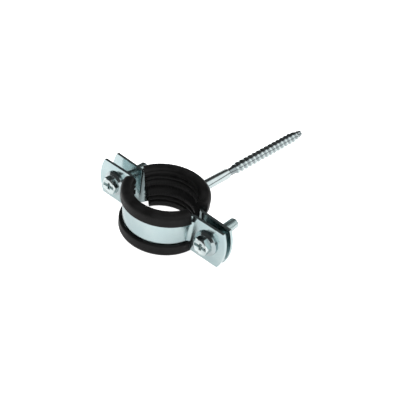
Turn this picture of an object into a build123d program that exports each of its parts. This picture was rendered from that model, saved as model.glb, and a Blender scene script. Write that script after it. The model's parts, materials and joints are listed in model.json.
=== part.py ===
"""Two-screw pipe clamp with a ribbed rubber lining and a hanger screw.

Millimetres, +Z along the pipe, +Y towards the wall, +X along the ears.
The origin is on the pipe's axis, half way along the clamp's width.
The back half carries the weld nut and the hanger screw. The front half is drawn towards it
by two closing screws, and stands a little askew because one screw is turned in further.
"""
from build123d import *
import os
from math import atan2, cos, degrees, radians, sin, sqrt, tan

# ---------------------------------------------------------------- pipe and lining
pipe_r = 16.0                # radius on the rib crests
lining_body_t = 2.8          # rubber between the rib crests and the steel
lining_width = 25.0
lip_t = 1.5                  # rubber lip on the outside of the band
lip_reach = 4.2              # how far each lip runs in over the band
lip_edge_round = 0.7
rim_round = 2.6              # rolled outer corner of each rim
mouth_round = 0.5            # inner corner of each rim
groove_depth = 1.4
centre_groove_w = 4.4
inner_groove_z = 5.4
inner_groove_w = 1.6
outer_groove_z = 7.9
outer_groove_w = 1.4
lining_fit = 0.02            # room of the strip in the lining's channel
# the rubber's ends: distance from the parting plane at the bore, slant back towards the
# outside, and lean, which is plus where the upper edge stands further from the parting plane
back_left_end_y = 3.2
back_left_slant = 38.0
back_left_lean = -14.0
back_right_end_y = 3.0
back_right_slant = 28.0
back_right_lean = 9.0
front_left_end_y = 4.6
front_left_slant = 30.0
front_left_lean = 5.0
front_right_end_y = 2.2
front_right_slant = 20.0
front_right_lean = 9.0

# ---------------------------------------------------------------- steel band halves
band_width = 20.0
band_t = 1.5
bend_r = 2.0                 # inside radius where the ring turns out into an ear
ear_mid_y = 3.2              # parting plane to the middle of the ear's thickness
ear_reach = 40.6             # clamp axis to the tip of an ear
ear_end_r = 22.0
front_skew = 2.7             # degrees that the front half is turned about the pipe

# ---------------------------------------------------------------- closing screws
hole_to_tip = 10.6           # from a screw's axis to the tip of its ear
screw_d = 5.0
screw_length = 23.0
screw_point = 0.7            # chamfer at the end of the thread
thread_play = 0.05           # radial room of the screw in its threaded collar
ear_hole_d = 6.4
collar_d = 8.2
collar_h = 2.2
collar_round = 0.4
hex_af = 8.0
hex_h = 2.8
hex_chamfer = 0.45           # height of the chamfer round the top of the head
head_play = 0.02             # from the head to its washer
recess_w = 1.2
recess_span = 4.8
recess_depth = 1.9
washer_d = 12.8
washer_rim_h = 0.9
washer_h = 1.9               # a dished washer: it rises from its rim to the head
washer_seat_d = 9.6
washer_hole_d = 5.6
washer_edge_round = 0.25

# ---------------------------------------------------------------- weld nut and hanger screw
nut_af = 10.0
nut_h = 6.5
nut_chamfer = 0.5
metric_d = 6.0
metric_play = 0.05           # radial room of the hanger screw in the weld nut
metric_gap = 0.5             # from the hanger screw's inner end to the band
metric_reach = 1.5           # thread left standing out of the nut
shank_d = 5.7
shank_end = 48.0             # distances along the hanger screw are from the pipe's axis
shank_chamfer = 0.7
neck_d = 4.3
wood_start = 53.0
wood_d = 6.2
wood_end = 115.0
wood_taper = 12.0
wood_tip_r = 0.5

# ---------------------------------------------------------------- worked out
band_in_r = pipe_r + lining_body_t
band_out_r = band_in_r + band_t
lip_out_r = band_out_r + lip_t
half_width = lining_width / 2
half_band = band_width / 2
lip_end_z = half_band - lip_reach
ear_near_y = ear_mid_y - band_t / 2
ear_far_y = ear_mid_y + band_t / 2
bend_y = ear_far_y + bend_r
bend_x = sqrt((band_out_r + bend_r) ** 2 - bend_y ** 2)
bend_start = degrees(atan2(bend_y, bend_x))
ear_end_sag = ear_end_r - sqrt(ear_end_r ** 2 - half_band ** 2)
screw_x = ear_reach - hole_to_tip
head_y = -(ear_far_y + washer_h + head_play)
nut_y = band_out_r + nut_h

# the front half's own plane: X along its ears, Y along the pipe, Z out through its ears
skew = radians(front_skew)
front_plane = Plane((0, 0, 0), x_dir=(cos(skew), sin(skew), 0), z_dir=(sin(skew), -cos(skew), 0))

os.makedirs("parts", exist_ok=True)

# ---------------------------------------------------------------- one half of the steel band
with BuildPart() as strip:
    with BuildSketch(Plane.XY):
        with BuildLine():
            CenterArc((0, 0), band_in_r, bend_start, 90 - bend_start)
            CenterArc((bend_x, bend_y), bend_r + band_t, 180 + bend_start, 90 - bend_start)
            Polyline((bend_x, ear_near_y), (ear_reach, ear_near_y), (ear_reach, ear_far_y), (bend_x, ear_far_y))
            CenterArc((bend_x, bend_y), bend_r, 180 + bend_start, 90 - bend_start)
            CenterArc((0, 0), band_out_r, bend_start, 90 - bend_start)
            Line((0, band_in_r), (0, band_out_r))
        make_face()
        mirror(about=Plane.YZ)
    extrude(amount=half_band, both=True)
    # the strip's ends are cut to a shallow arc
    with BuildSketch(Plane.XZ):
        with BuildLine():
            end_x = ear_reach - ear_end_sag
            Line((0, half_band), (end_x, half_band))
            ThreePointArc((end_x, half_band), (ear_reach, 0), (end_x, -half_band))
            Polyline((end_x, -half_band), (0, -half_band), (0, half_band))
        make_face()
        mirror(about=Plane.YZ)
    extrude(amount=-2 * band_out_r, mode=Mode.INTERSECT)

# the collars are formed in the back ears and tapped in line with the screws
collar_mid_y = ear_far_y + collar_h / 2
collar_shift = -collar_mid_y * tan(skew)
with BuildPart() as back_band:
    add(strip.part)
    with BuildSketch(Plane.XZ.offset(-ear_far_y)):
        with Locations((collar_shift - screw_x / cos(skew), 0), (collar_shift + screw_x / cos(skew), 0)):
            Circle(collar_d / 2)
    extrude(amount=-collar_h)
    collar_rims = back_band.edges(Select.LAST).filter_by(GeomType.CIRCLE).group_by(Axis.Y)[-1]
    fillet(collar_rims, collar_round)
    with BuildSketch(front_plane):
        with Locations((-screw_x, 0), (screw_x, 0)):
            Circle(screw_d / 2 + thread_play)
    extrude(amount=-band_out_r, mode=Mode.SUBTRACT)
back_band.part.label = "back_band"
export_step(back_band.part, "parts/back_band.step")

# the front half is the same strip, turned a little about the pipe, with plain holes
with BuildPart() as front_strip:
    mirror(strip.part, about=Plane.XZ)
    with BuildSketch(Plane.XZ):
        with Locations((-screw_x, 0), (screw_x, 0)):
            Circle(ear_hole_d / 2)
    extrude(amount=band_out_r, mode=Mode.SUBTRACT)

with BuildPart() as front_band:
    add(front_strip.part, rotation=(0, 0, front_skew))
front_band.part.label = "front_band"
export_step(front_band.part, "parts/front_band.step")

# ---------------------------------------------------------------- lining: ribs, channel, lips
with BuildPart() as lining_ring:
    with BuildSketch(Plane.XZ):
        with BuildLine():
            channel_in = band_in_r - lining_fit
            channel_out = band_out_r + lining_fit
            channel_z = half_band + lining_fit
            Polyline(
                (channel_in, 0),
                (channel_in, channel_z),
                (channel_out, channel_z),
                (channel_out, lip_end_z),
                (lip_out_r, lip_end_z),
                (lip_out_r, half_width),
                (pipe_r, half_width),
                (pipe_r, 0),
                (channel_in, 0),
            )
        make_face()
        fillet(vertices().group_by(Axis.X)[-1].sort_by(Axis.Y)[-1], rim_round)
        fillet(vertices().group_by(Axis.X)[-1].sort_by(Axis.Y)[0], lip_edge_round)
        fillet(vertices().group_by(Axis.X)[0].sort_by(Axis.Y)[-1], mouth_round)
        with Locations((pipe_r, 0)):
            Rectangle(2 * groove_depth, centre_groove_w, mode=Mode.SUBTRACT)
        with Locations((pipe_r, inner_groove_z)):
            Rectangle(2 * groove_depth, inner_groove_w, mode=Mode.SUBTRACT)
        with Locations((pipe_r, outer_groove_z)):
            Rectangle(2 * groove_depth, outer_groove_w, mode=Mode.SUBTRACT)
        mirror(about=Plane.XZ)
    revolve(axis=Axis.Z, revolution_arc=180)

end_run = 2 * lip_out_r

with BuildPart() as back_lining:
    add(lining_ring.part)
    for side, end_y, slant, lean in (
        (-1, back_left_end_y, back_left_slant, back_left_lean),
        (1, back_right_end_y, back_right_slant, back_right_lean),
    ):
        with BuildSketch(Plane.XY.rotated((-lean, 0, 0))):
            with BuildLine():
                rise = tan(radians(slant))
                Polyline(
                    (0, -end_run),
                    (0, end_y - pipe_r * rise),
                    (side * end_run, end_y + (end_run - pipe_r) * rise),
                    (side * end_run, -end_run),
                    (0, -end_run),
                )
            make_face()
        extrude(amount=lining_width, both=True, mode=Mode.SUBTRACT)
    # the lips make room for the bends of the strip
    add(strip.part, mode=Mode.SUBTRACT)
back_lining.part.label = "back_lining"
export_step(back_lining.part, "parts/back_lining.step")

# the front rubber has crept a little way round its band towards the right
with BuildPart() as front_lining_cut:
    add(lining_ring.part)
    for side, end_y, slant, lean in (
        (-1, front_left_end_y, front_left_slant, front_left_lean),
        (1, front_right_end_y, front_right_slant, front_right_lean),
    ):
        with BuildSketch(Plane.XY.rotated((-lean, 0, 0))):
            with BuildLine():
                rise = tan(radians(slant))
                Polyline(
                    (0, -end_run),
                    (0, end_y - pipe_r * rise),
                    (side * end_run, end_y + (end_run - pipe_r) * rise),
                    (side * end_run, -end_run),
                    (0, -end_run),
                )
            make_face()
        extrude(amount=lining_width, both=True, mode=Mode.SUBTRACT)
    add(strip.part, mode=Mode.SUBTRACT)

with BuildPart() as front_lining_straight:
    mirror(front_lining_cut.part, about=Plane.XZ)

with BuildPart() as front_lining:
    add(front_lining_straight.part, rotation=(0, 0, front_skew))
front_lining.part.label = "front_lining"
export_step(front_lining.part, "parts/front_lining.step")

# ---------------------------------------------------------------- weld nut on the back half
with BuildPart() as boss_nut:
    with BuildSketch(Plane.XZ):
        RegularPolygon(nut_af / 2, 6, major_radius=False)
    extrude(amount=-nut_y)
    # the outer end's corners are chamfered by turning
    with BuildSketch(Plane.XY):
        with BuildLine():
            nut_corner_r = nut_af / 2 / cos(radians(30))
            Polyline(
                (0, 0),
                (nut_corner_r, 0),
                (nut_corner_r, nut_y - nut_chamfer),
                (nut_af / 2, nut_y),
                (0, nut_y),
                (0, 0),
            )
        make_face()
    revolve(axis=Axis.Y, mode=Mode.INTERSECT)
    Cylinder(band_out_r, 2 * band_width, mode=Mode.SUBTRACT)
    with BuildSketch(Plane.XZ):
        Circle(metric_d / 2 + metric_play)
    extrude(amount=-nut_y, mode=Mode.SUBTRACT)
boss_nut.part.label = "boss_nut"
export_step(boss_nut.part, "parts/boss_nut.step")

# ---------------------------------------------------------------- hanger screw
with BuildPart() as hanger_screw:
    with BuildSketch(Plane.XY):
        with BuildLine():
            Polyline(
                (0, band_out_r + metric_gap),
                (metric_d / 2 - shank_chamfer, band_out_r + metric_gap),
                (metric_d / 2, band_out_r + metric_gap + shank_chamfer),
                (metric_d / 2, nut_y + metric_reach),
                (shank_d / 2, nut_y + metric_reach),
                (shank_d / 2, shank_end - shank_chamfer),
                (neck_d / 2, shank_end),
                (neck_d / 2, wood_start),
                (wood_d / 2, wood_start + (wood_d - neck_d) / 2),
                (wood_d / 2, wood_end - wood_taper),
                (wood_tip_r, wood_end),
                (0, wood_end),
                (0, band_out_r + metric_gap),
            )
        make_face()
    revolve(axis=Axis.Y)
hanger_screw.part.label = "hanger_screw"
export_step(hanger_screw.part, "parts/hanger_screw.step")

# ---------------------------------------------------------------- closing screws and washers
for side, name in ((-1, "left"), (1, "right")):
    # turned profiles are drawn on this plane: X out from the screw's axis, Y along it to the wall
    axis_foot = front_plane.from_local_coords(Vector(side * screw_x, 0, 0))
    turning = Plane(axis_foot, x_dir=front_plane.x_dir, z_dir=(0, 0, 1))
    screw_axis = Axis(axis_foot, turning.y_dir)

    # a dished captive washer lies on the ear
    with BuildPart() as washer:
        with BuildSketch(turning):
            with BuildLine():
                Polyline(
                    (washer_hole_d / 2, -ear_far_y),
                    (washer_d / 2, -ear_far_y),
                    (washer_d / 2, -ear_far_y - washer_rim_h),
                    (washer_seat_d / 2, -ear_far_y - washer_h),
                    (washer_hole_d / 2, -ear_far_y - washer_h),
                    (washer_hole_d / 2, -ear_far_y),
                )
            make_face()
            fillet(vertices().group_by(Axis.X)[-1], washer_edge_round)
        revolve(axis=screw_axis)
    washer.part.label = name + "_washer"
    export_step(washer.part, "parts/" + name + "_washer.step")

    # the hex head bears on the washer and the shaft runs through both ears
    with BuildPart() as screw:
        with BuildSketch(front_plane.offset(-head_y)):
            with Locations((side * screw_x, 0)):
                RegularPolygon(hex_af / 2, 6, major_radius=False)
        extrude(amount=hex_h)
        with BuildSketch(turning):
            with BuildLine():
                corner_r = hex_af / 2 / cos(radians(30))
                Polyline(
                    (0, head_y),
                    (corner_r, head_y),
                    (corner_r, head_y - hex_h + hex_chamfer),
                    (hex_af / 2, head_y - hex_h),
                    (0, head_y - hex_h),
                    (0, head_y),
                )
            make_face()
        revolve(axis=screw_axis, mode=Mode.INTERSECT)
        with BuildSketch(front_plane.offset(hex_h - head_y)):
            with Locations((side * screw_x, 0)):
                Rectangle(recess_w, recess_span)
                Rectangle(recess_span, recess_w)
        extrude(amount=-recess_depth, mode=Mode.SUBTRACT)
        with BuildSketch(turning):
            with BuildLine():
                Polyline(
                    (0, head_y),
                    (screw_d / 2, head_y),
                    (screw_d / 2, head_y + screw_length - screw_point),
                    (screw_d / 2 - screw_point, head_y + screw_length),
                    (0, head_y + screw_length),
                    (0, head_y),
                )
            make_face()
        revolve(axis=screw_axis)
    screw.part.label = name + "_closing_screw"
    export_step(screw.part, "parts/" + name + "_closing_screw.step")
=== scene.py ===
"""Rubber lined pipe clamp: zinc plated band halves, EPDM half linings, closing screws and hanger screw.

The pipe runs along Z and the hanger screw along Y, towards the wall. Lengths are in metres.
"""
import json
from math import atan2, cos, pi, radians, sin, tan, tau

import bmesh
import bpy
from mathutils import Matrix, Vector


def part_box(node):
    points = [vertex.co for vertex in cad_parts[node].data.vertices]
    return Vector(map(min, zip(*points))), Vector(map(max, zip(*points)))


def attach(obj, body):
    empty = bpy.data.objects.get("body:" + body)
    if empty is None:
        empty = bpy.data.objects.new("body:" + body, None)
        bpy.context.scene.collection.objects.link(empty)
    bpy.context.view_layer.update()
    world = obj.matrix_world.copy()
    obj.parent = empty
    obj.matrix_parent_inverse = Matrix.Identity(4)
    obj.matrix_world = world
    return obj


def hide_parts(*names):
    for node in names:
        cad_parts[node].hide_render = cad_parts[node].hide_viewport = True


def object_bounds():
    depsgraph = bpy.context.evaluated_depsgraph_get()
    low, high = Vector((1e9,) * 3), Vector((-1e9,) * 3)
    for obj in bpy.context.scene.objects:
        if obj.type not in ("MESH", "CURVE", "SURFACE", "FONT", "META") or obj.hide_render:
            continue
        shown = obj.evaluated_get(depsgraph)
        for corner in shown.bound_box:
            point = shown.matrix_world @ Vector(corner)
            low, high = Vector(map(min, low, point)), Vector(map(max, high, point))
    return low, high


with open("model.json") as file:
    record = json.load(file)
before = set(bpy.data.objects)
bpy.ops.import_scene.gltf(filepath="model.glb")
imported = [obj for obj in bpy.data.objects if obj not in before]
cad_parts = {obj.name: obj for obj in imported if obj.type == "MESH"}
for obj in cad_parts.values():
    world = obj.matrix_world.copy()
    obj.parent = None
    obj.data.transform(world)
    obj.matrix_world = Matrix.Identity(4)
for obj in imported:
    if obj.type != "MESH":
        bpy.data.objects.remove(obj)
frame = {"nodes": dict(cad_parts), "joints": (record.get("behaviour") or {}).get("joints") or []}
cad_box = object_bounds()
MM = 0.001
UP = Vector((0, 0, 1))

# ---------------------------------------------------------------- closing screws: sizes
HEX_AF = 8.2 * MM
HEX_HEIGHT = 2.9 * MM
HEX_SEAT = 2.8 * MM              # from the solid's head face to the face that bears on the washer
HEX_FACE_R = 3.7 * MM            # the rim that the turned chamfer leaves
HEX_CHAMFER_ANGLE = radians(30)
HEX_TURN = {"left": radians(72), "right": radians(75)}   # how far each head is turned about its axis
HEX_STEPS = 96                   # points round a head, a multiple of six
HEX_DISH_R = 3.0 * MM            # the face is sunk a little inside its rim
HEX_DISH_DEPTH = 0.35 * MM
SLOT_W = 1.7 * MM
SLOT_LENGTH = 7.0 * MM
SLOT_DEPTH = 1.5 * MM
CROSS_SPAN = 5.6 * MM
CROSS_DEPTH = 2.2 * MM
CROSS_FLOOR = (0.45, 0.8)        # shares of its length and width that an arm keeps at its floor
CLOSING_D = 5.5 * MM
CLOSING_CORE_D = 4.7 * MM
CLOSING_PITCH = 0.8 * MM
CLOSING_LENGTH = 24.2 * MM
CLOSING_CHAMFER = 0.8 * MM
CLOSING_ROOT = 0.2 * MM          # the shaft starts this far inside the head

# ---------------------------------------------------------------- hanger screw: sizes
METRIC_D = 6.0 * MM
METRIC_CORE_D = 4.9 * MM
METRIC_PITCH = 1.0 * MM
METRIC_CHAMFER = 0.7 * MM
METRIC_REACH = 1.5 * MM          # thread that stands out of the weld nut
METRIC_OVERLAP = 0.5 * MM        # thread that runs on inside the shank
SHANK_D = 5.8 * MM
SHANK_END = 48.0 * MM            # places along the hanger screw are from the pipe's axis
SHANK_BREAK = 0.3 * MM           # broken edge at the metric end
SHOULDER_LENGTH = 1.0 * MM       # the slope from the shank down to the neck
SHOULDER_FOOT = 0.15 * MM        # the slope's foot stands this far proud of the neck
SHOULDER_FOOT_BACK = 0.1 * MM    # and this far before the shank's end
SHOULDER_RUN_OUT = 0.3 * MM      # and runs out this far behind it
NECK_D = 4.5 * MM
NECK_OVERLAP = 1.0 * MM          # neck that runs on inside the wood thread
WOOD_D = 6.2 * MM
WOOD_CORE_D = 4.5 * MM
WOOD_FLANK_FOOT = 0.15 * MM      # height at which a flank's foot turns steep
WOOD_PITCH = 3.7 * MM
WOOD_START = 52.0 * MM
WOOD_SINK = 0.1 * MM             # the thread's start lies this far under the neck's surface
WOOD_RUN_IN = 2.2 * MM           # the thread rises from the neck over this length
WOOD_TAPER = 8.0 * MM
WOOD_TIP_R = 1.8 * MM
ROOT_SHADE_LOW_R = WOOD_CORE_D / 2 + 0.05 * MM   # painted shade in the thread's roots is darkest up to here
ROOT_SHADE_HIGH_R = WOOD_D / 2 - 0.35 * MM       # and ends here

# ---------------------------------------------------------------- linings: sizes
PIPE_R = 16.0 * MM
MOUTH_ROUND = 2.2 * MM           # inner corner of each rubber rim
MOUTH_STEP = 0.03 * MM           # the rounding starts this far outside the ribs' crests
MOUTH_STEPS = 8
RING_STEPS = 120

# ---------------------------------------------------------------- points nearer than these are one
CAD_MERGE = 0.0005 * MM
THREAD_MERGE = 0.001 * MM
SHELL_MERGE = 0.002 * MM

# ---------------------------------------------------------------- camera
AZIMUTH = radians(36.69)
ELEVATION = radians(37.59)
ROLL = radians(9.65)
TARGET = Vector((5.71, 20.0, -1.10)) * MM
DISTANCE = 325.0 * MM
FOCAL_PIXELS = 644.9
FRAME_PIXELS = 400
SENSOR_WIDTH = 36.0              # in millimetres, as Blender's cameras have it


def place_camera():
    """A camera that looks down at the clamp from the front right, a little rolled."""
    back = Vector((sin(AZIMUTH) * cos(ELEVATION), -cos(AZIMUTH) * cos(ELEVATION), sin(ELEVATION)))
    right = Vector((cos(AZIMUTH), sin(AZIMUTH), 0.0))
    up = back.cross(right)
    x_axis = right * cos(ROLL) + up * sin(ROLL)
    y_axis = up * cos(ROLL) - right * sin(ROLL)
    data = bpy.data.cameras.new("camera")
    data.sensor_width = SENSOR_WIDTH
    data.lens = FOCAL_PIXELS * SENSOR_WIDTH / FRAME_PIXELS
    data.clip_start = 10 * MM
    camera = bpy.data.objects.new("camera", data)
    camera.matrix_world = Matrix.Translation(TARGET + back * DISTANCE) @ Matrix(
        (x_axis, y_axis, back)
    ).transposed().to_4x4()
    bpy.context.scene.collection.objects.link(camera)
    bpy.context.scene.camera = camera


place_camera()

# ---------------------------------------------------------------- effects that materials share
NOISE_LOW, NOISE_HIGH = 0.3, 0.7     # what the noise mostly keeps between
EDGE_FLAT, EDGE_SHARP = 0.98, 0.80   # cosines of the turn that a softened normal makes
EDGE_SAMPLES = 6


def new_group(name, inputs, outputs):
    """inputs are (name, value) pairs of plain numbers, and outputs are (name, kind) pairs."""
    group = bpy.data.node_groups.new(name, "ShaderNodeTree")
    for label, value in inputs:
        socket = group.interface.new_socket(label, in_out="INPUT", socket_type="NodeSocketFloat")
        socket.default_value = value
    for label, kind in outputs:
        group.interface.new_socket(label, in_out="OUTPUT", socket_type=kind)
    return group


def mottle_group():
    """Cloudy tone and a finer grain, each from 0 to 1."""
    group = new_group(
        "mottle",
        inputs=(("Cloud Scale", 180.0), ("Grain Scale", 2500.0)),
        outputs=(("Cloud", "NodeSocketFloat"), ("Grain", "NodeSocketFloat")),
    )
    nodes, links = group.nodes, group.links
    values = nodes.new("NodeGroupInput")
    result = nodes.new("NodeGroupOutput")
    coords = nodes.new("ShaderNodeTexCoord")
    for name, detail in (("Cloud", 4.0), ("Grain", 2.0)):
        noise = nodes.new("ShaderNodeTexNoise")
        noise.inputs["Detail"].default_value = detail
        links.new(coords.outputs["Object"], noise.inputs["Vector"])
        links.new(values.outputs[name + " Scale"], noise.inputs["Scale"])
        spread = nodes.new("ShaderNodeMapRange")
        spread.inputs["From Min"].default_value = NOISE_LOW
        spread.inputs["From Max"].default_value = NOISE_HIGH
        links.new(noise.outputs["Fac"], spread.inputs["Value"])
        links.new(spread.outputs["Result"], result.inputs[name])
    return group


def edge_group():
    """A softened normal, and a mask that is 1 on sharp edges and 0 on flats, which the skins use for a
    painted edge highlight.
    """
    group = new_group(
        "edge_sheen",
        inputs=(("Width", 0.2 * MM),),
        outputs=(("Edge", "NodeSocketFloat"), ("Normal", "NodeSocketVector")),
    )
    nodes, links = group.nodes, group.links
    values = nodes.new("NodeGroupInput")
    result = nodes.new("NodeGroupOutput")
    bevel = nodes.new("ShaderNodeBevel")
    bevel.samples = EDGE_SAMPLES
    links.new(values.outputs["Width"], bevel.inputs["Radius"])
    surface = nodes.new("ShaderNodeNewGeometry")
    match = nodes.new("ShaderNodeVectorMath")
    match.operation = "DOT_PRODUCT"
    links.new(bevel.outputs["Normal"], match.inputs[0])
    links.new(surface.outputs["Normal"], match.inputs[1])
    sharp = nodes.new("ShaderNodeMapRange")
    sharp.inputs["From Min"].default_value = EDGE_FLAT
    sharp.inputs["From Max"].default_value = EDGE_SHARP
    links.new(match.outputs["Value"], sharp.inputs["Value"])
    links.new(sharp.outputs["Result"], result.inputs["Edge"])
    links.new(bevel.outputs["Normal"], result.inputs["Normal"])
    return group


MOTTLE = mottle_group()
EDGE_SHEEN = edge_group()

# ---------------------------------------------------------------- materials


def new_material(name):
    """A material with its nodes, links and main shader."""
    material = bpy.data.materials.new(name)
    material.use_nodes = True
    nodes = material.node_tree.nodes
    return material, nodes, material.node_tree.links, nodes["Principled BSDF"]


def place_group(nodes, group, **values):
    """Places a shared effect, with values named after its inputs."""
    node = nodes.new("ShaderNodeGroup")
    node.node_tree = group
    for name, value in values.items():
        node.inputs[name.replace("_", " ")].default_value = value
    return node


def mix_colour(nodes, links, mask, low, high):
    """low and high are plain colours, or the output that one comes from."""
    mix = nodes.new("ShaderNodeMix")
    mix.data_type = "RGBA"
    links.new(mask, mix.inputs["Factor"])
    for name, colour in (("A", low), ("B", high)):
        if isinstance(colour, tuple):
            mix.inputs[name].default_value = (*colour, 1.0)
        else:
            links.new(colour, mix.inputs[name])
    return mix.outputs["Result"]


def map_value(nodes, links, value, low, high):
    """Spreads a value that runs from 0 to 1 over low to high."""
    spread = nodes.new("ShaderNodeMapRange")
    spread.inputs["To Min"].default_value = low
    spread.inputs["To Max"].default_value = high
    links.new(value, spread.inputs["Value"])
    return spread.outputs["Result"]


def cloudy_skin(name, clouds, grain, tones, roughness, edge_width, edge_highlight_tone, bump_strength, bump_depth):
    """A skin whose tone and roughness drift in clouds, with a fine grain and a painted highlight of another
    tone on its edges.
    """
    material, nodes, links, shader = new_material(name)
    mottle = place_group(nodes, MOTTLE, Cloud_Scale=clouds, Grain_Scale=grain)
    edge = place_group(nodes, EDGE_SHEEN, Width=edge_width)
    skin = mix_colour(nodes, links, mottle.outputs["Cloud"], *tones)
    # painted highlight: sharp edges take a lighter tone
    edge_lit = mix_colour(nodes, links, edge.outputs["Edge"], skin, edge_highlight_tone)
    links.new(edge_lit, shader.inputs["Base Color"])
    links.new(map_value(nodes, links, mottle.outputs["Cloud"], *roughness), shader.inputs["Roughness"])
    bump = nodes.new("ShaderNodeBump")
    bump.inputs["Strength"].default_value = bump_strength
    bump.inputs["Distance"].default_value = bump_depth
    links.new(mottle.outputs["Grain"], bump.inputs["Height"])
    links.new(edge.outputs["Normal"], bump.inputs["Normal"])
    links.new(bump.outputs["Normal"], shader.inputs["Normal"])
    return material, shader


def zinc(name, dull, bright, smooth, rough, edge_width, edge_highlight_tone):
    """Passivated zinc plate: a faint cloudy tint, rolled grain, and a painted highlight on its edges."""
    material, shader = cloudy_skin(
        name, clouds=140.0, grain=2200.0, tones=(dull, bright), roughness=(smooth, rough),
        edge_width=edge_width, edge_highlight_tone=edge_highlight_tone, bump_strength=0.10, bump_depth=0.02 * MM,
    )
    shader.inputs["Metallic"].default_value = 1.0
    return material


def shade_thread_roots(material, root_r, crest_r, tone):
    """Painted shade in the thread's roots: the plate takes the dark tone from crest_r down to root_r round
    the Y axis.
    """
    nodes, links = material.node_tree.nodes, material.node_tree.links
    shader = nodes["Principled BSDF"]
    plate = shader.inputs["Base Color"].links[0].from_socket
    place = nodes.new("ShaderNodeTexCoord")
    flat = nodes.new("ShaderNodeVectorMath")
    flat.operation = "MULTIPLY"
    flat.inputs[1].default_value = (1, 0, 1)
    radius = nodes.new("ShaderNodeVectorMath")
    radius.operation = "LENGTH"
    links.new(place.outputs["Object"], flat.inputs[0])
    links.new(flat.outputs["Vector"], radius.inputs[0])
    fade = nodes.new("ShaderNodeMapRange")
    fade.inputs["From Min"].default_value = root_r
    fade.inputs["From Max"].default_value = crest_r
    links.new(radius.outputs["Value"], fade.inputs["Value"])
    links.new(mix_colour(nodes, links, fade.outputs["Result"], tone, plate), shader.inputs["Base Color"])


def epdm(name):
    """Matt black EPDM: a fine moulded grain, a dull bloom and a painted grey highlight on its edges."""
    material, shader = cloudy_skin(
        name, clouds=240.0, grain=3200.0, tones=((0.004, 0.004, 0.004), (0.009, 0.009, 0.009)),
        roughness=(0.36, 0.50), edge_width=0.25 * MM, edge_highlight_tone=(0.030, 0.030, 0.031),
        bump_strength=0.25, bump_depth=0.05 * MM,
    )
    shader.inputs["Specular IOR Level"].default_value = 0.12
    return material


# each edge tone below is a painted highlight on that part's sharp edges
STRIP_ZINC = zinc(
    "zinc_strip", dull=(0.42, 0.53, 0.545), bright=(0.50, 0.60, 0.605), smooth=0.12, rough=0.22,
    edge_width=0.22 * MM, edge_highlight_tone=(0.56, 0.64, 0.64),
)
SCREW_ZINC = zinc(
    "zinc_screw", dull=(0.54, 0.62, 0.62), bright=(0.64, 0.71, 0.71), smooth=0.10, rough=0.20,
    edge_width=0.10 * MM, edge_highlight_tone=(0.72, 0.77, 0.77),
)
HANGER_ZINC = zinc(
    "zinc_hanger", dull=(0.46, 0.54, 0.545), bright=(0.56, 0.63, 0.63), smooth=0.10, rough=0.20,
    edge_width=0.10 * MM, edge_highlight_tone=(0.72, 0.77, 0.77),
)
# painted shade: the hanger screw darkens towards its axis, darkest in the thread roots and on the neck
shade_thread_roots(HANGER_ZINC, ROOT_SHADE_LOW_R, ROOT_SHADE_HIGH_R, tone=(0.25, 0.29, 0.30))
WASHER_ZINC = zinc(
    "zinc_washer", dull=(0.36, 0.43, 0.44), bright=(0.46, 0.52, 0.53), smooth=0.10, rough=0.18,
    edge_width=0.15 * MM, edge_highlight_tone=(0.62, 0.68, 0.68),
)
NUT_ZINC = zinc(
    "zinc_nut", dull=(0.50, 0.58, 0.58), bright=(0.62, 0.68, 0.68), smooth=0.18, rough=0.30,
    edge_width=0.20 * MM, edge_highlight_tone=(0.66, 0.72, 0.72),
)
RUBBER = epdm("epdm_rubber")


def dress(node, material):
    """Gives a CAD node's own mesh a finished material."""
    mesh = frame["nodes"][node].data
    mesh.materials.clear()
    mesh.materials.append(material)


for band in ("back_band", "front_band"):
    dress(band, STRIP_ZINC)
for washer in ("left_washer", "right_washer"):
    dress(washer, WASHER_ZINC)
dress("boss_nut", NUT_ZINC)

# ---------------------------------------------------------------- making pieces
SHARP_ANGLE = radians(35)


def make_object(name, bm, material):
    """Makes an object at the origin out of bm, and frees it."""
    mesh = bpy.data.meshes.new(name)
    bm.to_mesh(mesh)
    bm.free()
    mesh.materials.append(material)
    piece = bpy.data.objects.new(name, mesh)
    bpy.context.scene.collection.objects.link(piece)
    return piece


def finish_piece(piece, body, node):
    """Smooths the piece between its sharp edges, rides it on a body, and stands it in for the node."""
    for face in piece.data.polygons:
        face.use_smooth = True
    piece.data.set_sharp_from_angle(angle=SHARP_ANGLE)
    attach(piece, body)
    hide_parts(node)


def close_shell(bm):
    """Merges doubled points and turns the faces outwards."""
    bmesh.ops.remove_doubles(bm, verts=bm.verts, dist=SHELL_MERGE)
    bmesh.ops.recalc_face_normals(bm, faces=bm.faces)


def turned(outline, steps):
    """A closed shell turned round Z, from (radius, distance) points that close up or end on the axis."""
    bm = bmesh.new()
    verts = [bm.verts.new((radius, 0, along)) for radius, along in outline[:-1]]
    if outline[-1] == outline[0]:
        verts.append(verts[0])
    else:
        radius, along = outline[-1]
        verts.append(bm.verts.new((radius, 0, along)))
    edges = [bm.edges.new(pair) for pair in zip(verts, verts[1:])]
    bmesh.ops.spin(
        bm, geom=bm.verts[:] + edges, cent=(0, 0, 0), axis=(0, 0, 1), angle=tau, steps=steps,
        use_merge=True,
    )
    close_shell(bm)
    return bm


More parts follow.
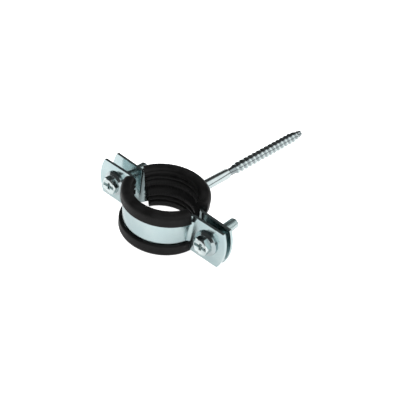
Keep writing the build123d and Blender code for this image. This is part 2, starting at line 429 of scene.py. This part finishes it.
def threaded(start, end, pitch, profile, limit, steps):
    """A closed right-hand thread from start to end on Z, with so many steps a turn.

    profile gives one pitch as (radius, share of the pitch); limit gives the largest radius at a distance.
    """
    bm = bmesh.new()
    verts = [bm.verts.new((radius, 0, start + (share - 2) * pitch)) for radius, share in profile]
    edges = [bm.edges.new(pair) for pair in zip(verts, verts[1:])]
    turns = int((end - start) / pitch) + 4    # spare turns at both ends are cut off below
    bmesh.ops.spin(
        bm, geom=verts + edges, cent=(0, 0, 0), axis=(0, 0, 1), dvec=(0, 0, pitch / steps),
        angle=turns * tau, steps=turns * steps,
    )
    bmesh.ops.remove_doubles(bm, verts=bm.verts, dist=THREAD_MERGE)
    for level, outwards in ((start, -1), (end, 1)):
        bmesh.ops.bisect_plane(
            bm, geom=bm.verts[:] + bm.edges[:] + bm.faces[:], plane_co=(0, 0, level),
            plane_no=(0, 0, outwards), clear_outer=True,
        )
    bmesh.ops.holes_fill(bm, edges=[e for e in bm.edges if e.is_boundary])
    for vert in bm.verts:
        radius = vert.co.xy.length
        largest = limit(vert.co.z)
        if radius > largest:
            vert.co.xy *= largest / radius
    close_shell(bm)
    return bm


def join(bm, other):
    """Adds the other shell to bm, and frees it."""
    mesh = bpy.data.meshes.new("part")
    other.to_mesh(mesh)
    other.free()
    bm.from_mesh(mesh)
    bpy.data.meshes.remove(mesh)


def cut(piece, cutter):
    """Takes the cutter's shape out of the piece, and leaves a plain mesh."""
    tool = piece.modifiers.new("cut", "BOOLEAN")
    tool.operation = "DIFFERENCE"
    tool.solver = "EXACT"
    tool.use_self = True
    tool.object = cutter
    bpy.context.view_layer.update()
    graph = bpy.context.evaluated_depsgraph_get()
    shaped = bpy.data.meshes.new_from_object(piece.evaluated_get(graph))
    piece.modifiers.remove(tool)
    old = piece.data
    piece.data = shaped
    shaped.name = old.name
    bpy.data.meshes.remove(old)
    bpy.data.objects.remove(cutter)


# ---------------------------------------------------------------- rubber half linings


def mouth_cutter(side):
    """A ring that rounds the bore's mouth at one rim; side is 1 at the upper rim and -1 at the lower."""
    rim_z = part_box("back_lining")[1].z
    inner_r = PIPE_R + MOUTH_STEP
    centre_r = inner_r + MOUTH_ROUND
    centre_z = rim_z - MOUTH_ROUND
    turns = [step / MOUTH_STEPS * pi / 2 for step in range(MOUTH_STEPS + 1)]
    arc = [(centre_r - MOUTH_ROUND * cos(turn), centre_z + MOUTH_ROUND * sin(turn)) for turn in turns]
    inside = inner_r - MM
    above = rim_z + MM
    outline = [(inside, centre_z), *arc, (centre_r, above), (inside, above), (inside, centre_z)]
    return turned([(radius, side * level) for radius, level in outline], RING_STEPS)


def lining(node, body):
    """The CAD half lining with softly rounded mouths, as moulded rubber has."""
    bm = bmesh.new()
    bm.from_mesh(frame["nodes"][node].data)
    bmesh.ops.remove_doubles(bm, verts=bm.verts, dist=CAD_MERGE)
    piece = make_object(node + "_moulded", bm, RUBBER)
    for side in (-1, 1):
        cut(piece, make_object("mouth", mouth_cutter(side), RUBBER))
    finish_piece(piece, body, node)


lining("back_lining", "back half")
lining("front_lining", "front half")

# ---------------------------------------------------------------- closing screws
# one pitch of a metric thread, as (height from core to crest, share of the pitch)
METRIC_PROFILE = ((0, 0.0), (0, 0.14), (1, 0.46), (1, 0.58), (0, 0.90), (0, 1.0))


def metric_profile(core_r, crest_r):
    """One pitch of a metric thread between two radii, as threaded takes it."""
    return [(core_r + (crest_r - core_r) * height, share) for height, share in METRIC_PROFILE]


def hexagon_radius(angle, across_flats):
    """Distance from the centre to the side of a hexagon with a corner at angle 0."""
    return across_flats / 2 / cos((angle % (tau / 6)) - tau / 12)


def grow(bm, edges):
    """Extrudes a ring of edges, and gives the new ring's vertices and edges."""
    grown = bmesh.ops.extrude_edge_only(bm, edges=edges)["geom"]
    verts = [part for part in grown if isinstance(part, bmesh.types.BMVert)]
    return verts, [part for part in grown if isinstance(part, bmesh.types.BMEdge)]


def head_blank(turn):
    """A hexagon head below Z = 0, with a sunk face and the turned chamfer round its rim."""
    bm = bmesh.new()
    bmesh.ops.create_circle(bm, cap_ends=True, segments=HEX_STEPS, radius=HEX_DISH_R)
    bmesh.ops.translate(bm, verts=bm.verts, vec=(0, 0, HEX_DISH_DEPTH - HEX_HEIGHT))
    verts, rim = grow(bm, bm.edges[:])
    for vert in verts:
        vert.co.xy *= HEX_FACE_R / HEX_DISH_R
        vert.co.z = -HEX_HEIGHT
    verts, rim = grow(bm, rim)
    for vert in verts:
        radius = hexagon_radius(atan2(vert.co.y, vert.co.x) + turn, HEX_AF)
        vert.co.xy *= radius / HEX_FACE_R
        vert.co.z += (radius - HEX_FACE_R) * tan(HEX_CHAMFER_ANGLE)
    verts, rim = grow(bm, rim)
    for vert in verts:
        vert.co.z = 0.0
    bmesh.ops.holes_fill(bm, edges=[e for e in bm.edges if e.is_boundary])
    close_shell(bm)
    return bm


def recess_cutter():
    """A driver's slot and a tapered cross, open at the head's face."""
    bm = bmesh.new()
    for length, depth, floor_shares, quarter in (
        (SLOT_LENGTH, SLOT_DEPTH, (1.0, 1.0), 0),
        (CROSS_SPAN, CROSS_DEPTH, CROSS_FLOOR, 0),
        (CROSS_SPAN, CROSS_DEPTH, CROSS_FLOOR, 1),
    ):
        arm = bmesh.new()
        bmesh.ops.create_cube(arm, size=1.0)
        bmesh.ops.scale(arm, verts=arm.verts, vec=(length, SLOT_W, 2 * depth))
        for vert in arm.verts:
            if vert.co.z > 0:
                vert.co.x *= floor_shares[0]
                vert.co.y *= floor_shares[1]
        bmesh.ops.rotate(arm, verts=arm.verts, matrix=Matrix.Rotation(quarter * pi / 2, 3, "Z"))
        join(bm, arm)
    bmesh.ops.translate(bm, verts=bm.verts, vec=(0, 0, -HEX_HEIGHT))
    return bm


def closing_place(side, node):
    """Where a closing screw stands: its own Z runs to the tip, from the head's bearing face."""
    joint = next(j for j in frame["joints"] if j["name"] == side + "_screw_turn")
    to_wall = -Vector(joint["axis"]).normalized()
    across = to_wall.cross(UP).normalized()
    down = to_wall.cross(across)
    foot = Vector(joint["pos_m"])
    head_end = min((vert.co - foot).dot(to_wall) for vert in frame["nodes"][node].data.vertices)
    place = Matrix((across, down, to_wall)).transposed().to_4x4()
    place.translation = foot + to_wall * (head_end + HEX_SEAT)
    return place


def closing_limit(along):
    """The closing screw's largest radius, with the chamfer at its tip."""
    return min(CLOSING_D / 2, CLOSING_D / 2 - CLOSING_CHAMFER + (CLOSING_LENGTH - along))


def closing_screw(side):
    """Hexagon head with a driver's recess on a fully threaded shaft."""
    node = side + "_closing_screw"
    piece = make_object(node + "_detailed", head_blank(HEX_TURN[side]), SCREW_ZINC)
    cut(piece, make_object("recess", recess_cutter(), SCREW_ZINC))
    bm = bmesh.new()
    bm.from_mesh(piece.data)
    profile = metric_profile(CLOSING_CORE_D / 2, CLOSING_D / 2)
    join(bm, threaded(-CLOSING_ROOT, CLOSING_LENGTH, CLOSING_PITCH, profile, closing_limit, steps=24))
    bmesh.ops.transform(bm, matrix=closing_place(side, node), verts=bm.verts)
    bm.to_mesh(piece.data)
    bm.free()
    piece.data.update()
    finish_piece(piece, side + " screw", node)


for side in ("left", "right"):
    closing_screw(side)

# ---------------------------------------------------------------- hanger screw


def metric_end(inner, outer):
    """The thread that sits in the weld nut, chamfered at its inner end."""
    def limit(along):
        return min(METRIC_D / 2, METRIC_D / 2 - METRIC_CHAMFER + (along - inner))

    profile = metric_profile(METRIC_CORE_D / 2, METRIC_D / 2)
    return threaded(inner, outer, METRIC_PITCH, profile, limit, steps=24)


def shank_and_neck(start):
    """The rolled shank, its shoulder and the thinner neck that the wood thread rises from."""
    outline = (
        (0, start),
        (SHANK_D / 2 - SHANK_BREAK, start),
        (SHANK_D / 2, start + SHANK_BREAK),
        (SHANK_D / 2, SHANK_END - SHOULDER_LENGTH),
        (NECK_D / 2 + SHOULDER_FOOT, SHANK_END - SHOULDER_FOOT_BACK),
        (NECK_D / 2, SHANK_END + SHOULDER_RUN_OUT),
        (NECK_D / 2, WOOD_START + NECK_OVERLAP),
        (0, WOOD_START + NECK_OVERLAP),
    )
    return turned(outline, steps=48)


def wood_thread(tip):
    """The coarse thread: narrow ridges on a wide core, rising from the neck and tapered to the tip."""
    core, crest = WOOD_CORE_D / 2, WOOD_D / 2
    foot = core + WOOD_FLANK_FOOT
    profile = (
        (core, 0.0), (core, 0.42), (foot, 0.50), (crest, 0.70), (crest, 0.78), (foot, 0.94), (core, 1.0),
    )

    def limit(along):
        run_in = NECK_D / 2 - WOOD_SINK + (along - WOOD_START) * (WOOD_D - NECK_D) / 2 / WOOD_RUN_IN
        to_tip = (tip - along) / WOOD_TAPER
        return min(crest, run_in, WOOD_TIP_R + to_tip * (crest - WOOD_TIP_R))

    return threaded(WOOD_START, tip, WOOD_PITCH, profile, limit, steps=40)


def hanger_screw():
    """Metric thread in the weld nut, shank, neck and wood thread, all in one piece along Y."""
    low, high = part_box("hanger_screw")
    metric_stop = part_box("boss_nut")[1].y + METRIC_REACH
    bm = metric_end(low.y, metric_stop + METRIC_OVERLAP)
    join(bm, shank_and_neck(metric_stop))
    join(bm, wood_thread(high.y))
    bmesh.ops.rotate(bm, verts=bm.verts, matrix=Matrix.Rotation(-pi / 2, 3, "X"))
    piece = make_object("hanger_screw_threaded", bm, HANGER_ZINC)
    finish_piece(piece, "hanger", "hanger_screw")


hanger_screw()

# ---------------------------------------------------------------- stage and light
FLOOR_HALF = 3.0
FLOOR_WHITE = (0.90, 0.90, 0.90, 1.0)
FLOOR_LIFT = (("Is Camera Ray", 0.80), ("Is Glossy Ray", 0.20))
WORLD_LEVEL = (("Is Diffuse Ray", 0.55), ("Is Camera Ray", 1.0))
ROOM_DARK = 0.07
WINDOW_BRIGHT = 1.35
WINDOW_TURN = 0.3                # the window is on the right, turned by this share of Y towards the back
# the window's left, lower and upper edges: what is measured, where the light starts and where it is full
WINDOW_EDGES = (("side", 0.05, 0.35), ("Z", 0.14, 0.22), ("Z", 0.95, 0.80))


def by_ray(nodes, links, level, choices):
    """level is a number or an output; each choice gives another level to one kind of ray."""
    path = nodes.new("ShaderNodeLightPath")
    for ray, strength in choices:
        choice = nodes.new("ShaderNodeMix")
        choice.data_type = "FLOAT"
        links.new(path.outputs[ray], choice.inputs["Factor"])
        if isinstance(level, float):
            choice.inputs["A"].default_value = level
        else:
            links.new(level, choice.inputs["A"])
        choice.inputs["B"].default_value = strength
        level = choice.outputs["Result"]
    return level


def floor():
    """A pale floor under the clamp, seamless with the white surround."""
    bm = bmesh.new()
    bmesh.ops.create_grid(bm, x_segments=1, y_segments=1, size=FLOOR_HALF)
    bmesh.ops.translate(bm, verts=bm.verts, vec=(0, 0, cad_box[0][2]))
    material, nodes, links, shader = new_material("floor_white")
    shader.inputs["Base Color"].default_value = FLOOR_WHITE
    shader.inputs["Roughness"].default_value = 0.9
    shader.inputs["Specular IOR Level"].default_value = 0.0
    shader.inputs["Emission Color"].default_value = (1, 1, 1, 1)
    links.new(by_ray(nodes, links, 0.0, FLOOR_LIFT), shader.inputs["Emission Strength"])
    make_object("floor", bm, material)


def calculate(nodes, links, operation, *terms):
    """A Math node; each term is a number or an output."""
    node = nodes.new("ShaderNodeMath")
    node.operation = operation
    for socket, term in zip(node.inputs, terms):
        if isinstance(term, float):
            socket.default_value = term
        else:
            links.new(term, socket)
    return node.outputs["Value"]


def soft_edge(nodes, links, value, start, full):
    """Light that rises smoothly from 0 at start to 1 at full."""
    edge = nodes.new("ShaderNodeMapRange")
    edge.interpolation_type = "SMOOTHSTEP"
    edge.inputs["From Min"].default_value = start
    edge.inputs["From Max"].default_value = full
    links.new(value, edge.inputs["Value"])
    return edge.outputs["Result"]


def studio():
    """White to the camera, an even grey to matt skins, and to the metal a dark room with one tall window."""
    world = bpy.data.worlds.new("studio")
    bpy.context.scene.world = world
    world.use_nodes = True
    nodes, links = world.node_tree.nodes, world.node_tree.links
    coords = nodes.new("ShaderNodeTexCoord")
    way = nodes.new("ShaderNodeSeparateXYZ")
    links.new(coords.outputs["Generated"], way.inputs["Vector"])
    ways = {
        "side": calculate(nodes, links, "MULTIPLY_ADD", way.outputs["Y"], WINDOW_TURN, way.outputs["X"]),
        "Z": way.outputs["Z"],
    }
    window = 1.0
    for axis, start, full in WINDOW_EDGES:
        edge = soft_edge(nodes, links, ways[axis], start, full)
        window = calculate(nodes, links, "MULTIPLY", window, edge)
    room = map_value(nodes, links, window, ROOM_DARK, WINDOW_BRIGHT)
    background = nodes["Background"]
    background.inputs["Color"].default_value = (1, 1, 1, 1)
    links.new(by_ray(nodes, links, room, WORLD_LEVEL), background.inputs["Strength"])


def softbox(name, place, size, power):
    """A round lamp that faces the clamp and doesn't show in the metal."""
    data = bpy.data.lights.new(name, "AREA")
    data.shape = "DISK"
    data.size = size
    data.energy = power
    lamp = bpy.data.objects.new(name, data)
    lamp.location = place
    lamp.rotation_euler = (-Vector(place)).to_track_quat("-Z", "Y").to_euler()
    lamp.visible_glossy = False
    bpy.context.scene.collection.objects.link(lamp)


floor()
studio()
softbox("key", place=(0.25, -0.55, 0.75), size=0.5, power=5.0)
softbox("fill", place=(-0.7, -0.2, 0.5), size=0.6, power=2.0)
softbox("back", place=(0.2, 0.7, 0.6), size=0.5, power=3.0)
bpy.context.scene.view_settings.view_transform = "Standard"
